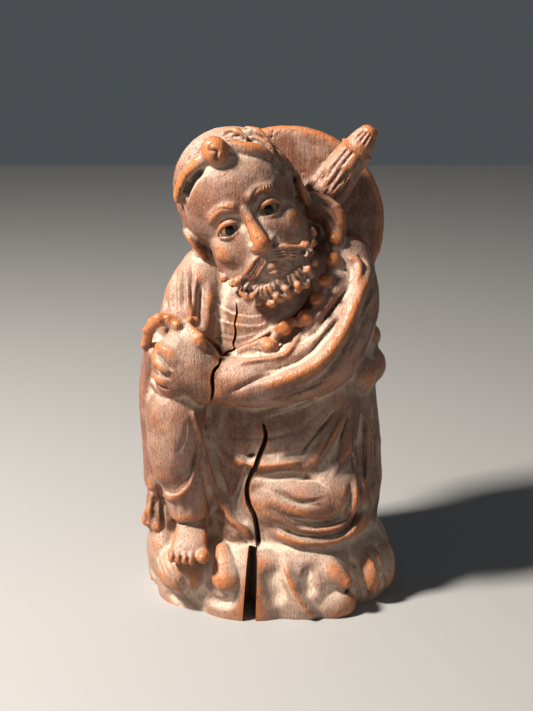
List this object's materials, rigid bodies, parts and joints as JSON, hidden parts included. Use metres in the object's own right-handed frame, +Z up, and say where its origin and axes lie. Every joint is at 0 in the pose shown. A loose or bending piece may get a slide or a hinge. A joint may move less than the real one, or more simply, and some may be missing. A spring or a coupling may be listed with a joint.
{
  "type": "carved wooden statue",
  "caption": "Wooden statue carved from one block: a bearded seated traveller on a rock, a hand over the raised knee, beads on the chest, and a round hat and a staff on the back.",
  "frame": {"origin": "on the ground, under the middle of the rock that the figure sits on", "axes": "+Z up; the figure faces -Y, and its left arm and the staff are towards +X"},
  "size_m": [0.1205, 0.0993, 0.2201],
  "materials": {
    "wood": "dark reddish-brown, hand-carved, polished by wear and waxed, with pale dust in the recesses",
    "eye_glass": "dark polished glass, let into the face"
  },
  "bodies": {
    "root": {"carved_statue": "wood", "right_eye": "eye_glass", "left_eye": "eye_glass"}
  },
  "joints": []
}
